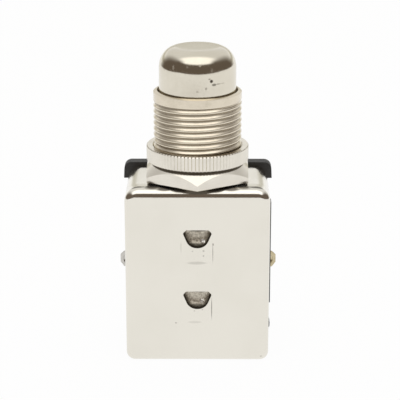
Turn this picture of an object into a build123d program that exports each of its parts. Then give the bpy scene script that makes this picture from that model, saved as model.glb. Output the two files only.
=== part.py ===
from build123d import *
import os

# Momentary push button switch with a drawn case, a threaded bushing, two nuts and its contact works.
# Millimetres. The origin is on the bushing's axis at the foot of the free thread, just above the
# ring nut. +Z runs up the button, and -Y is the front wall with the two lanced tongues.

# Bushing and its thread
thread_diameter = 11.906
thread_depth = 0.25
wall_under_thread = 0.263
bushing_height = 12.3
bushing_floor = 1.6
lead_length = 1.0
lead_inset = 0.235
lead_slope = 0.2
lead_edge = 0.12
bare_neck = 0.15
neck_wall = 0.95
neck_clearance = 0.02
stake_lip = 0.5
stake_thickness = 0.7
stake_to_rim = 2.1

# Nuts
nut_clearance = 0.02
nut_to_case = 0.4
hex_wall = 1.127
hex_thickness = 2.25
hex_top_inset = 0.6
ring_wall = 1.217
ring_thickness = 2.05
ring_teeth = 88
tooth_depth = 0.1
ring_edge_chamfer = 0.12
ring_mouth_chamfer = 0.4

# Case
case_width = 19.6
case_height = 24.86
case_depth = 11.7
sheet = 0.5
case_corner = 2.0
case_foot_corner = 1.2
case_front_radius = 1.1
tab_width = 2.8
tab_from_top = 3.95
tab_from_foot = 2.61
tab_fold = 1.6
tab_bend = 0.2

# Lanced tongues in the front wall
tongue_width = 3.92
tongue_height = 2.55
tongue_shoulder = 0.5
tongue_flare = 0.566
tongue_corner = 0.6
tongue_push = 1.2
tongue_side_inset = 0.62
tongue_ramp = 0.75
tongue_skin = 0.42
tongue_first = 5.675
tongue_pitch = 8.8

# Terminal board
board_thickness = 1.8
board_width = 21.06
ear_rise = 0.45
ear_slant = 0.1
ear_corner = 1.05
ear_foot_corner = 0.6
notch_clearance = 0.1
saddle_clearance = 0.15
saddle_drop = 0.2

# Button
cap_clearance = 0.235
cap_rise = 5.88
cap_length = 9.68
cap_wall = 0.5
cap_edge_radius = 2.45
travel = 3.5

# Stem and return spring
stem_diameter = 4.0
stem_clearance = 0.05
stem_boss = 0.4
stem_head_thickness = 0.8
stem_head_lip = 0.15
spring_wire = 0.6
spring_gap = 0.45
spring_turns = 7
coil_side_count = 8
clip_play = 0.05
clip_thickness = 0.5
clip_width = 1.7
clip_groove_depth = 0.5
clip_fit = 0.02
stem_land = 0.6
spigot_diameter = 2.4
stem_end_lip = 0.6
stem_end_thickness = 0.6

# Moving contacts
carrier_width = 11.0
carrier_thickness = 2.25
carrier_corner = 0.8
carrier_clearance = 0.3
key_clearance = 0.2
spigot_clearance = 0.05
contact_spring_wire = 0.35
contact_spring_gap = 0.4
contact_spring_length = 2.0
contact_spring_turns = 3
strip_thickness = 0.5
strip_width = 3.2
strip_end = 1.4
washer_lip = 0.95
washer_thickness = 0.5
contact_diameter = 2.2
contact_height = 0.5
contact_edge = 0.15
contact_span = 12.0
contact_rest_gap = 0.1

# Fixed contacts, rivets and solder lugs
bracket_thickness = 0.6
bracket_width = 3.0
bracket_bend = 0.4
bracket_drop = 2.9
bracket_margin = 0.3
rivet_diameter = 1.8
rivet_fit = 0.02
rivet_head_lip = 0.5
rivet_head_thickness = 0.6
rivet_head_edge = 0.25
lug_width = 2.35
lug_thickness = 0.8
lug_bend = 0.4
lug_bend_x = 8.0
lug_show = 0.8
lug_angle = 30.0
lug_tip_chamfer = 0.6
lug_hole_diameter = 1.5
lug_hole_from_tip = 1.3

# Radii and heights worked out from the sizes above
thread_radius = thread_diameter / 2
root_radius = thread_radius - thread_depth
bore_radius = root_radius - wall_under_thread
nut_bore_radius = root_radius + nut_clearance
hex_half_flats = nut_bore_radius + hex_wall
hex_top_radius = hex_half_flats - hex_top_inset
ring_radius = nut_bore_radius + ring_wall
ring_top = -bare_neck
ring_bottom = ring_top - ring_thickness
hex_bottom = ring_bottom - hex_thickness
case_top = hex_bottom - nut_to_case
bushing_top = case_top + bushing_height
thread_end = bushing_top - lead_length
lead_radius = thread_radius - lead_inset
bore_floor = case_top + bushing_floor
stem_radius = stem_diameter / 2
stem_hole_radius = stem_radius + stem_clearance
neck_radius = stem_hole_radius + neck_wall
stake_radius = neck_radius + stake_lip
neck_bottom = case_top - sheet
stake_bottom = neck_bottom - stake_thickness

case_rear = stake_radius + stake_to_rim
case_front = case_rear - case_depth
case_foot = case_top - case_height
case_middle = case_top - case_height / 2
front_wall_inside = case_front + sheet
tongue_inside = front_wall_inside + tongue_push
tongue_tops = [case_top - tongue_first, case_top - tongue_first - tongue_pitch]
tab_levels = [case_foot + tab_from_foot, case_top - tab_from_top]

board_front = case_rear
board_rear = board_front + board_thickness

cap_radius = bore_radius - cap_clearance
cap_top = bushing_top + cap_rise
cap_inside_top = cap_top - cap_wall
spring_radius = stem_radius + spring_gap + spring_wire / 2
head_top = cap_inside_top - stem_boss
head_bottom = head_top - stem_head_thickness
head_radius = spring_radius + spring_wire / 2 + stem_head_lip

clip_top = stake_bottom - clip_play
clip_bottom = clip_top - clip_thickness
groove_radius = stem_radius - clip_groove_depth
spigot_radius = spigot_diameter / 2
spigot_hole_radius = spigot_radius + spigot_clearance
carrier_top = clip_bottom - stem_land
carrier_bottom = carrier_top - carrier_thickness
strip_top = carrier_bottom - contact_spring_length
strip_bottom = strip_top - strip_thickness
stem_end_top = strip_bottom - washer_thickness
stem_end_bottom = stem_end_top - stem_end_thickness

contact_x = contact_span / 2
fixed_contact_top = strip_bottom - contact_height - travel - contact_rest_gap
shelf_top = fixed_contact_top - contact_height
lug_level = shelf_top - bracket_thickness - bracket_drop
rivet_radius = rivet_diameter / 2
rivet_hole_radius = rivet_radius + rivet_fit
rivet_head_radius = rivet_radius + rivet_head_lip
lug_rear = board_rear + lug_thickness

sides = {"left": -1, "right": 1}


def facing_front(y, z=0.0):
    """The plane at depth y that faces the front, with its origin on the axis at height z."""
    return Plane(origin=(0, y, z), x_dir=(1, 0, 0), z_dir=(0, -1, 0))


def tongue_outline(width, height, corner):
    """A tongue's outline below its sheared edge: cut shoulders, slanted sides and a round foot."""
    half_top = width / 2 - tongue_shoulder
    half_foot = width / 2 - tongue_flare * (height - tongue_shoulder)
    with BuildSketch() as outline:
        with BuildLine():
            Polyline(
                (-half_top, 0),
                (half_top, 0),
                (width / 2, -tongue_shoulder),
                (half_foot, -height),
                (-half_foot, -height),
                (-width / 2, -tongue_shoulder),
                close=True,
            )
        make_face()
        fillet(outline.vertices().group_by(Axis.Y)[0], corner)
    return outline.sketch


def coil(wire, radius, bottom, top, turns):
    """A wire of the given thickness, drawn with flats, coiled between two seats."""
    height = top - bottom - wire
    with BuildPart() as spring:
        with BuildLine() as path:
            Helix(pitch=height / turns, height=height, radius=radius, center=(0, 0, bottom + wire / 2))
        with BuildSketch(Plane(origin=path.line @ 0, z_dir=path.line % 0)):
            RegularPolygon(wire / 2, coil_side_count)
        sweep(path=path.line, is_frenet=True)
    return spring.part


os.makedirs("parts", exist_ok=True)

# Case: a drawn can, open to the rear
with BuildPart() as case:
    with BuildSketch(facing_front(case_rear, case_middle)) as walls:
        Rectangle(case_width, case_height)
        fillet(walls.vertices().group_by(Axis.Y)[-1], case_corner)
        fillet(walls.vertices().group_by(Axis.Y)[0], case_foot_corner)
    extrude(amount=case_depth)
    fillet(case.faces().sort_by(Axis.Y)[0].edges(), case_front_radius)
    offset(amount=-sheet, openings=case.faces().sort_by(Axis.Y)[-1])
    for top in tongue_tops:
        floor_width = tongue_width - 2 * tongue_side_inset
        floor_height = tongue_height - tongue_ramp
        skin_width = 2 * tongue_skin
        skin_corner = tongue_corner + tongue_skin
        with BuildSketch(facing_front(front_wall_inside, top)):
            add(tongue_outline(tongue_width + skin_width, tongue_height + tongue_skin, skin_corner))
        with BuildSketch(facing_front(tongue_inside, top)):
            add(tongue_outline(floor_width + skin_width, floor_height + tongue_skin, skin_corner))
        loft()
        with BuildSketch(facing_front(case_front, top)):
            add(tongue_outline(tongue_width, tongue_height, tongue_corner))
        with BuildSketch(facing_front(case_front + tongue_push, top)):
            add(tongue_outline(floor_width, floor_height, tongue_corner))
        loft(mode=Mode.SUBTRACT)
    with BuildSketch(Plane.XY.offset(case_top)):
        Circle(neck_radius + neck_clearance)
    extrude(amount=-sheet, mode=Mode.SUBTRACT)
    for level in tab_levels:
        for side in sides.values():
            wall_x = side * (case_width - sheet) / 2
            fold_y = board_rear + sheet / 2
            fold_end = (side * (case_width / 2 - tab_fold), fold_y)
            with BuildSketch(Plane.XY.offset(level - tab_width / 2)):
                with BuildLine():
                    FilletPolyline(
                        (wall_x, case_rear), (wall_x, fold_y), fold_end, radius=tab_bend + sheet / 2
                    )
                trace(line_width=sheet)
            extrude(amount=tab_width)
case.part.label = "case"
export_step(case.part, "parts/case.step")

# Bushing: a drawn threaded cup whose neck is staked through the case's top.
# The thread stands at its root under the nuts and at its crest above them.
with BuildPart() as bushing:
    with BuildSketch(Plane.XZ):
        with BuildLine():
            Polyline(
                (stem_hole_radius, stake_bottom),
                (stake_radius, stake_bottom),
                (stake_radius, neck_bottom),
                (neck_radius, neck_bottom),
                (neck_radius, case_top),
                (root_radius, case_top),
                (root_radius, 0),
                (thread_radius, 0),
                (thread_radius, thread_end),
                (lead_radius, thread_end + lead_slope),
                (lead_radius, bushing_top - lead_edge),
                (lead_radius - lead_edge, bushing_top),
                (bore_radius, bushing_top),
                (bore_radius, bore_floor),
                (stem_hole_radius, bore_floor),
                close=True,
            )
        make_face()
    revolve(axis=Axis.Z)
bushing.part.label = "bushing"
export_step(bushing.part, "parts/bushing.step")

# Hex nut with a conical top, one corner to the front, set a little above the case
with BuildPart() as hex_nut:
    with BuildSketch(Plane.XY.offset(hex_bottom)):
        hexagon = RegularPolygon(hex_half_flats, 6, major_radius=False, rotation=30)
        Circle(nut_bore_radius, mode=Mode.SUBTRACT)
    extrude(amount=hex_thickness)
    with BuildSketch(Plane.XZ):
        corner_radius = hexagon.radius
        with BuildLine():
            Polyline(
                (0, hex_bottom),
                (corner_radius, hex_bottom),
                (corner_radius, ring_bottom - (corner_radius - hex_top_radius)),
                (hex_top_radius, ring_bottom),
                (0, ring_bottom),
                close=True,
            )
        make_face()
    revolve(axis=Axis.Z, mode=Mode.INTERSECT)
hex_nut.part.label = "hex_nut"
export_step(hex_nut.part, "parts/hex_nut.step")

# Ring nut with straight teeth
with BuildPart() as knurled_nut:
    with BuildSketch(Plane.XY.offset(ring_bottom)):
        Circle(ring_radius)
        with PolarLocations(ring_radius, ring_teeth):
            Rectangle(tooth_depth * 2**0.5, tooth_depth * 2**0.5, rotation=45, mode=Mode.SUBTRACT)
    extrude(amount=ring_thickness)
    with BuildSketch(Plane.XZ):
        with BuildLine():
            Polyline(
                (nut_bore_radius, ring_bottom),
                (ring_radius - ring_edge_chamfer, ring_bottom),
                (ring_radius, ring_bottom + ring_edge_chamfer),
                (ring_radius, ring_top - ring_edge_chamfer),
                (ring_radius - ring_edge_chamfer, ring_top),
                (nut_bore_radius + ring_mouth_chamfer, ring_top),
                (nut_bore_radius, ring_top - ring_mouth_chamfer),
                close=True,
            )
        make_face()
    revolve(axis=Axis.Z, mode=Mode.INTERSECT)
knurled_nut.part.label = "knurled_nut"
export_step(knurled_nut.part, "parts/knurled_nut.step")

# Terminal board with four ears, a saddle at each end and a notch for each tab.
# Its lower ears end level with the case, so that the switch can stand.
with BuildPart() as terminal_board:
    with BuildSketch(facing_front(board_rear)) as outline:
        half_width = board_width / 2
        saddle_x = hex_half_flats + saddle_clearance
        notch_x = case_width / 2 - sheet - tab_bend
        notch_half = tab_width / 2 + notch_clearance
        lower_tab, upper_tab = tab_levels
        with BuildLine():
            Polyline(
                (0, case_top - saddle_drop),
                (saddle_x, case_top - saddle_drop),
                (saddle_x, case_top + ear_rise),
                (half_width - ear_slant, case_top + ear_rise),
                (half_width, upper_tab + notch_half),
                (notch_x, upper_tab + notch_half),
                (notch_x, upper_tab - notch_half),
                (half_width, upper_tab - notch_half),
                (half_width, lower_tab + notch_half),
                (notch_x, lower_tab + notch_half),
                (notch_x, lower_tab - notch_half),
                (half_width, lower_tab - notch_half),
                (half_width, case_foot),
                (saddle_x, case_foot),
                (saddle_x, case_foot + saddle_drop),
                (0, case_foot + saddle_drop),
            )
            mirror(about=Plane.YZ)
        make_face()
        ears = outline.vertices().group_by(Axis.Y)[-1].sort_by(Axis.X)
        fillet([ears[0], ears[-1]], ear_corner)
        feet = outline.vertices().group_by(Axis.Y)[0].sort_by(Axis.X)
        fillet([feet[0], feet[-1]], ear_foot_corner)
        with Locations((-contact_x, lug_level), (contact_x, lug_level)):
            Circle(rivet_hole_radius, mode=Mode.SUBTRACT)
    extrude(amount=board_thickness)
terminal_board.part.label = "terminal_board"
export_step(terminal_board.part, "parts/terminal_board.step")

# Button cap: a drawn cup with a flat top
with BuildPart() as button_cap:
    cap_bottom = cap_top - cap_length
    edge_level = cap_top - cap_edge_radius
    edge_centre = cap_radius - cap_edge_radius
    inside_radius = cap_radius - cap_wall
    with BuildSketch(Plane.XZ):
        with BuildLine():
            Polyline((edge_centre, cap_inside_top), (0, cap_inside_top), (0, cap_top), (edge_centre, cap_top))
            RadiusArc((edge_centre, cap_top), (cap_radius, edge_level), cap_edge_radius)
            Polyline(
                (cap_radius, edge_level),
                (cap_radius, cap_bottom),
                (inside_radius, cap_bottom),
                (inside_radius, edge_level),
            )
            RadiusArc((inside_radius, edge_level), (edge_centre, cap_inside_top), cap_wall - cap_edge_radius)
        make_face()
    revolve(axis=Axis.Z)
button_cap.part.label = "button_cap"
export_step(button_cap.part, "parts/button_cap.step")

# Plunger stem: boss under the cap, spring head, clip groove and a riveted spigot
with BuildPart() as plunger_stem:
    with BuildSketch(Plane.XZ):
        with BuildLine():
            Polyline(
                (0, cap_inside_top),
                (stem_radius, cap_inside_top),
                (stem_radius, head_top),
                (head_radius, head_top),
                (head_radius, head_bottom),
                (stem_radius, head_bottom),
                (stem_radius, clip_top),
                (groove_radius, clip_top),
                (groove_radius, clip_bottom),
                (stem_radius, clip_bottom),
                (stem_radius, carrier_top),
                (spigot_radius, carrier_top),
                (spigot_radius, stem_end_top),
                (spigot_radius + stem_end_lip, stem_end_top),
                (spigot_radius + stem_end_lip, stem_end_bottom),
                (0, stem_end_bottom),
                close=True,
            )
        make_face()
    revolve(axis=Axis.Z)
plunger_stem.part.label = "plunger_stem"
export_step(plunger_stem.part, "parts/plunger_stem.step")

# Return spring between the bushing's floor and the stem's head
with BuildPart() as return_spring:
    add(coil(spring_wire, spring_radius, bore_floor, head_bottom, spring_turns))
return_spring.part.label = "return_spring"
export_step(return_spring.part, "parts/return_spring.step")

# Retaining clip: an open ring in the stem's groove
with BuildPart() as retaining_clip:
    with BuildSketch(Plane.XY.offset(clip_bottom)):
        Circle(groove_radius + clip_width)
        Circle(groove_radius + clip_fit, mode=Mode.SUBTRACT)
        Rectangle(
            2 * groove_radius * 0.9,
            groove_radius + clip_width,
            align=(Align.CENTER, Align.MIN),
            mode=Mode.SUBTRACT,
        )
    extrude(amount=clip_thickness)
retaining_clip.part.label = "retaining_clip"
export_step(retaining_clip.part, "parts/retaining_clip.step")

# Contact carrier: an insulating block that the upper tongue keys
with BuildPart() as contact_carrier:
    carrier_front = front_wall_inside + carrier_clearance
    carrier_rear = board_front - carrier_clearance
    key_depth = tongue_inside + key_clearance - carrier_front
    key_width = tongue_width + 2 * (tongue_skin + key_clearance)
    with BuildSketch(Plane.XY.offset(carrier_bottom)) as block:
        with Locations((0, carrier_front)):
            Rectangle(
                carrier_width, carrier_rear - carrier_front, align=(Align.CENTER, Align.MIN)
            )
        fillet(block.vertices(), carrier_corner)
        with Locations((0, carrier_front)):
            Rectangle(key_width, key_depth, align=(Align.CENTER, Align.MIN), mode=Mode.SUBTRACT)
        Circle(spigot_hole_radius, mode=Mode.SUBTRACT)
    extrude(amount=carrier_thickness)
contact_carrier.part.label = "contact_carrier"
export_step(contact_carrier.part, "parts/contact_carrier.step")

# Contact spring between the carrier and the strip
with BuildPart() as contact_spring:
    contact_spring_radius = spigot_radius + contact_spring_gap + contact_spring_wire / 2
    add(coil(contact_spring_wire, contact_spring_radius, strip_top, carrier_bottom, contact_spring_turns))
contact_spring.part.label = "contact_spring"
export_step(contact_spring.part, "parts/contact_spring.step")

# Contact bridge: the moving strip
with BuildPart() as contact_bridge:
    with BuildSketch(Plane.XY.offset(strip_bottom)):
        SlotCenterToCenter(contact_span + 2 * strip_end - strip_width, strip_width)
        Circle(spigot_hole_radius, mode=Mode.SUBTRACT)
    extrude(amount=strip_thickness)
contact_bridge.part.label = "contact_bridge"
export_step(contact_bridge.part, "parts/contact_bridge.step")

# Contact buttons under the strip
with BuildPart() as bridge_contacts:
    with BuildSketch(Plane.XY.offset(strip_bottom)):
        with Locations((-contact_x, 0), (contact_x, 0)):
            Circle(contact_diameter / 2)
    extrude(amount=-contact_height)
    chamfer(bridge_contacts.edges().group_by(Axis.Z)[0], contact_edge)
bridge_contacts.part.label = "bridge_contacts"
export_step(bridge_contacts.part, "parts/bridge_contacts.step")

# Washer that carries the strip on the stem's riveted end
with BuildPart() as bridge_washer:
    with BuildSketch(Plane.XY.offset(stem_end_top)):
        Circle(spigot_radius + washer_lip)
        Circle(spigot_hole_radius, mode=Mode.SUBTRACT)
    extrude(amount=washer_thickness)
bridge_washer.part.label = "bridge_washer"
export_step(bridge_washer.part, "parts/bridge_washer.step")

# The fixed contact, rivet and lug of each side
for name, side in sides.items():
    rivet_place = (side * contact_x, lug_level)

    # Bracket: a foot on the board and a shelf under the strip
    with BuildPart() as bracket:
        foot_y = board_front - bracket_thickness / 2
        foot_bottom = lug_level - rivet_head_radius - bracket_margin
        shelf_z = shelf_top - bracket_thickness / 2
        shelf_end = -contact_diameter / 2 - bracket_margin
        with BuildSketch(Plane.YZ.offset(side * contact_x - bracket_width / 2)):
            with BuildLine():
                FilletPolyline(
                    (foot_y, foot_bottom),
                    (foot_y, shelf_z),
                    (shelf_end, shelf_z),
                    radius=bracket_bend + bracket_thickness / 2,
                )
            trace(line_width=bracket_thickness)
        extrude(amount=bracket_width)
        with BuildSketch(facing_front(board_front)):
            with Locations(rivet_place):
                Circle(rivet_hole_radius)
        extrude(amount=bracket_thickness, mode=Mode.SUBTRACT)
    bracket.part.label = f"{name}_bracket"
    export_step(bracket.part, f"parts/{name}_bracket.step")

    # Fixed contact button on the shelf
    with BuildPart() as contact:
        with BuildSketch(Plane.XY.offset(shelf_top)):
            with Locations((side * contact_x, 0)):
                Circle(contact_diameter / 2)
        extrude(amount=contact_height)
        chamfer(contact.edges().group_by(Axis.Z)[-1], contact_edge)
    contact.part.label = f"{name}_contact"
    export_step(contact.part, f"parts/{name}_contact.step")

    # Rivet through bracket, board and lug
    with BuildPart() as rivet:
        inner_seat = board_front - bracket_thickness
        with BuildSketch(facing_front(lug_rear)):
            with Locations(rivet_place):
                Circle(rivet_radius)
        extrude(amount=lug_rear - inner_seat)
        with BuildSketch(facing_front(lug_rear), facing_front(inner_seat - rivet_head_thickness)):
            with Locations(rivet_place):
                Circle(rivet_head_radius)
        extrude(amount=-rivet_head_thickness)
        rims = rivet.edges().filter_by(GeomType.CIRCLE).group_by(Axis.Y)
        chamfer(rims[0] + rims[-1], rivet_head_edge)
    rivet.part.label = f"{name}_rivet"
    export_step(rivet.part, f"parts/{name}_rivet.step")

    # Solder lug: flat on the board, then bent outward to the rear, with a wire hole
    with BuildPart() as lug:
        flat_y = board_rear + lug_thickness / 2
        flat_start = contact_x - rivet_head_radius - bracket_margin
        leg = Vector(1, 0).rotate(Axis.Z, lug_angle)
        tip_x = board_width / 2 + lug_show - leg.Y * lug_thickness / 2
        leg_length = (tip_x - lug_bend_x) / leg.X
        bend_point = Vector(lug_bend_x, flat_y)
        tip_point = bend_point + leg * leg_length
        path = [(side * p.X, p.Y) for p in (Vector(flat_start, flat_y), bend_point, tip_point)]
        with BuildSketch(Plane.XY.offset(lug_level - lug_width / 2)):
            with BuildLine():
                FilletPolyline(*path, radius=lug_bend + lug_thickness / 2)
            trace(line_width=lug_thickness)
        extrude(amount=lug_width)
        tip_face = lug.faces().sort_by(Axis.X)[-1 if side > 0 else 0]
        chamfer(tip_face.edges().filter_by(Axis.Z, reverse=True), lug_tip_chamfer)
        with BuildSketch(facing_front(lug_rear)):
            with Locations(rivet_place):
                Circle(rivet_hole_radius)
        extrude(amount=lug_thickness, mode=Mode.SUBTRACT)
        hole_point = tip_point - leg * lug_hole_from_tip
        hole_plane = Plane(
            origin=(side * hole_point.X, hole_point.Y, lug_level), z_dir=(side * leg.Y, -leg.X, 0)
        )
        with BuildSketch(hole_plane):
            Circle(lug_hole_diameter / 2)
        extrude(amount=lug_thickness, both=True, mode=Mode.SUBTRACT)
    lug.part.label = f"{name}_lug"
    export_step(lug.part, f"parts/{name}_lug.step")
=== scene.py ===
"""Looks of a momentary push button switch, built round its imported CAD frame.

Lengths are millimetres until a mesh goes to Blender, which works in metres. The frame's
origin is on the bushing's axis at the foot of the free thread. +Z runs up the button, and
-Y is the front wall with the two lanced tongues.
"""
import logging
import math
from dataclasses import dataclass, field
from enum import Enum
from functools import reduce
from typing import Iterable, Optional, Sequence, Union

import bmesh
import bpy
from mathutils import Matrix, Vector
from mathutils.geometry import tessellate_polygon


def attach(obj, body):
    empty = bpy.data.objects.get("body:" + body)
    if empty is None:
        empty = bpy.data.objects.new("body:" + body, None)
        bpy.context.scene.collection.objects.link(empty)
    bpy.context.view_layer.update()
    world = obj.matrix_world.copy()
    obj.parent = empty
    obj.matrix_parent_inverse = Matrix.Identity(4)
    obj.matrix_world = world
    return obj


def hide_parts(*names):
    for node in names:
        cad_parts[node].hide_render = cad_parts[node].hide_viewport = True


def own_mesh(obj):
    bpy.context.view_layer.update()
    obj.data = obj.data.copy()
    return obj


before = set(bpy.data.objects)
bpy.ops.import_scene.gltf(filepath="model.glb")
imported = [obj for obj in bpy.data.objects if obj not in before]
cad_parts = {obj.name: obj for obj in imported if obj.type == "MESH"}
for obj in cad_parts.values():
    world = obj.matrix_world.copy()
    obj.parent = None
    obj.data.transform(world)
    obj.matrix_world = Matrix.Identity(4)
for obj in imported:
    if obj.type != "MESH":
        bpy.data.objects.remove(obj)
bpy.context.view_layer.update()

LOG = logging.getLogger("push_button")
MM = 0.001
WHITE = (1.0, 1.0, 1.0)

Pair = tuple[float, float]
Point = tuple[float, float, float]
Colour = tuple[float, float, float]
Material = bpy.types.Material
Mesh = bpy.types.Mesh
Piece = bpy.types.Object
Socket = bpy.types.NodeSocket
Value = Union[Socket, Material, float, int, Sequence[float]]
Key = Union[str, int]
Inputs = dict[Key, Value]


class Body(Enum):
    """The CAD bodies that pieces ride on."""

    HOUSING = "housing"
    PLUNGER = "plunger"


class Slot(Enum):
    """The record's material slots that the pieces use."""

    NICKEL_STEEL = "nickel_steel"
    NICKEL_BRASS = "nickel_brass"
    PHENOLIC = "phenolic"
    TINNED_BRASS = "tinned_brass"
    BRASS = "brass"
    SPRING_STEEL = "spring_steel"


class NodeSheet:
    """A node tree in the making: adds nodes, sets their inputs and joins their sockets."""

    def __init__(self, tree: bpy.types.NodeTree) -> None:
        """Starts on a shader, world or geometry tree."""
        self.tree = tree

    def feed(self, node: bpy.types.Node, inputs: Inputs) -> None:
        """Links a node's inputs to other sockets, or sets their own values.

        Args:
            node: The node to feed.
            inputs: What its inputs get, by name or number.
        """
        for key, value in inputs.items():
            if isinstance(value, Socket):
                self.tree.links.new(value, node.inputs[key])
            else:
                node.inputs[key].default_value = value

    def node(self, kind: str, inputs: Optional[Inputs] = None, **settings: object) -> bpy.types.Node:
        """Adds a node.

        Args:
            kind: The node's type.
            inputs: What its inputs get, by name or number.
            **settings: The node's own properties.

        Returns:
            The new node.
        """
        node = self.tree.nodes.new(kind)
        for key, setting in settings.items():
            setattr(node, key, setting)
        self.feed(node, inputs or {})
        return node

    def add(self, kind: str, inputs: Optional[Inputs] = None, output: Key = 0, **settings: object) -> Socket:
        """Adds a node and gives one of its outputs."""
        return self.node(kind, inputs, **settings).outputs[output]

    def math(self, operation: str, *values: Value) -> Socket:
        """Adds a Math node with its inputs in order."""
        return self.add("ShaderNodeMath", dict(enumerate(values)), operation=operation)

    def product(self, *values: Value) -> Socket:
        """Multiplies numbers."""
        return reduce(lambda first, second: self.math("MULTIPLY", first, second), values)

    def vector(self, operation: str, *values: Value) -> Socket:
        """Adds a Vector Math node, which gives a number for a length and a vector otherwise."""
        output = "Value" if operation == "LENGTH" else "Vector"
        return self.add("ShaderNodeVectorMath", dict(enumerate(values)), output, operation=operation)

    def split(self, vector: Socket) -> Sequence[Socket]:
        """The three parts of a vector."""
        return self.node("ShaderNodeSeparateXYZ", {0: vector}).outputs

    def combine(self, x: Value = 0.0, y: Value = 0.0, z: Value = 0.0) -> Socket:
        """A vector from its three parts."""
        return self.add("ShaderNodeCombineXYZ", {0: x, 1: y, 2: z})

    def ease(self, value: Value, span: Sequence[Value], to: Pair = (0.0, 1.0), soft: bool = True) -> Socket:
        """Maps a span of values to another, with soft ends or in a straight line."""
        inputs = {"Value": value, "From Min": span[0], "From Max": span[1], "To Min": to[0], "To Max": to[1]}
        return self.add("ShaderNodeMapRange", inputs, interpolation_type="SMOOTHSTEP" if soft else "LINEAR")

    def blend(self, share: Value, first: Value, second: Value) -> Socket:
        """Mixes two colours, each a plain one or a socket, by the second one's share."""
        low, high = ((*c, 1.0) if isinstance(c, tuple) else c for c in (first, second))
        return self.add("ShaderNodeMix", {0: share, 6: low, 7: high}, 2, data_type="RGBA")

    def millimetres(self, stretch: Point = (1.0, 1.0, 1.0)) -> Socket:
        """Object coordinates in millimetres, with a factor for each axis."""
        place = self.add("ShaderNodeTexCoord", output="Object")
        return self.vector("MULTIPLY", place, tuple(s / MM for s in stretch))

    def noise(self, place: Socket, gap: float, detail: float = 3.0, rough: float = 0.55) -> Socket:
        """A noise from 0 to 1 with blots some millimetres apart and finer layers over them."""
        inputs = {"Vector": place, "Scale": 1.0 / gap, "Detail": detail, "Roughness": rough}
        return self.add("ShaderNodeTexNoise", inputs)

    def facing(self, axis: int) -> Socket:
        """How far a face looks along an axis, from -1 to 1."""
        return self.split(self.add("ShaderNodeNewGeometry", output="Normal"))[axis]

    def bump(self, height: Socket, depth: float, strength: float) -> Socket:
        """A normal for a height whose 1 stands for a depth in millimetres."""
        return self.add("ShaderNodeBump", {"Height": height, "Distance": depth * MM, "Strength": strength})


@dataclass(frozen=True)
class Mark:
    """A small mark in a finish, used for flaw marks, painted shade and painted highlights: a soft ellipsoid
    round a place on the surface.
    """

    place: Point
    half: Point  # half sizes along the axes
    strength: float  # how much of the mark's colour shows


@dataclass(frozen=True)
class Finish:
    """A surface finish. Each kind draws its own shader."""

    name: str
    colour: Colour
    shade: Colour  # what clouds or stains the colour
    gloss: Pair  # roughness at its smoothest and at its dullest

    def draw(self, sheet: NodeSheet) -> Inputs:
        """Draws the finish on its material's sheet and gives what the shader's inputs get."""
        raise NotImplementedError

    def spots(self, sheet: NodeSheet, marks: Sequence[Mark]) -> Optional[Socket]:
        """Draws how much single marks cover a place.

        Args:
            sheet: The material's node sheet.
            marks: The marks.

        Returns:
            The covered share, or None where there are no marks.
        """
        share: Optional[Socket] = None
        place = sheet.millimetres()
        for mark in marks:
            away = sheet.vector("DIVIDE", sheet.vector("SUBTRACT", place, mark.place), mark.half)
            spot = sheet.ease(sheet.vector("LENGTH", away), span=(0.5, 1.15), to=(mark.strength, 0.0))
            share = spot if share is None else sheet.math("MAXIMUM", share, spot)
        return share

    def material(self) -> Material:
        """Draws the finish's material once and then shares it.

        Returns:
            The material.
        """
        found = bpy.data.materials.get(self.name)
        if found is None:
            found = bpy.data.materials.new(self.name)
            found.use_nodes = True
            sheet = NodeSheet(found.node_tree)
            sheet.feed(found.node_tree.nodes["Principled BSDF"], self.draw(sheet))
        return found

    def dress(self, mesh: Mesh) -> None:
        """Gives a mesh this finish alone."""
        mesh.materials.clear()
        mesh.materials.append(self.material())


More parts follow.
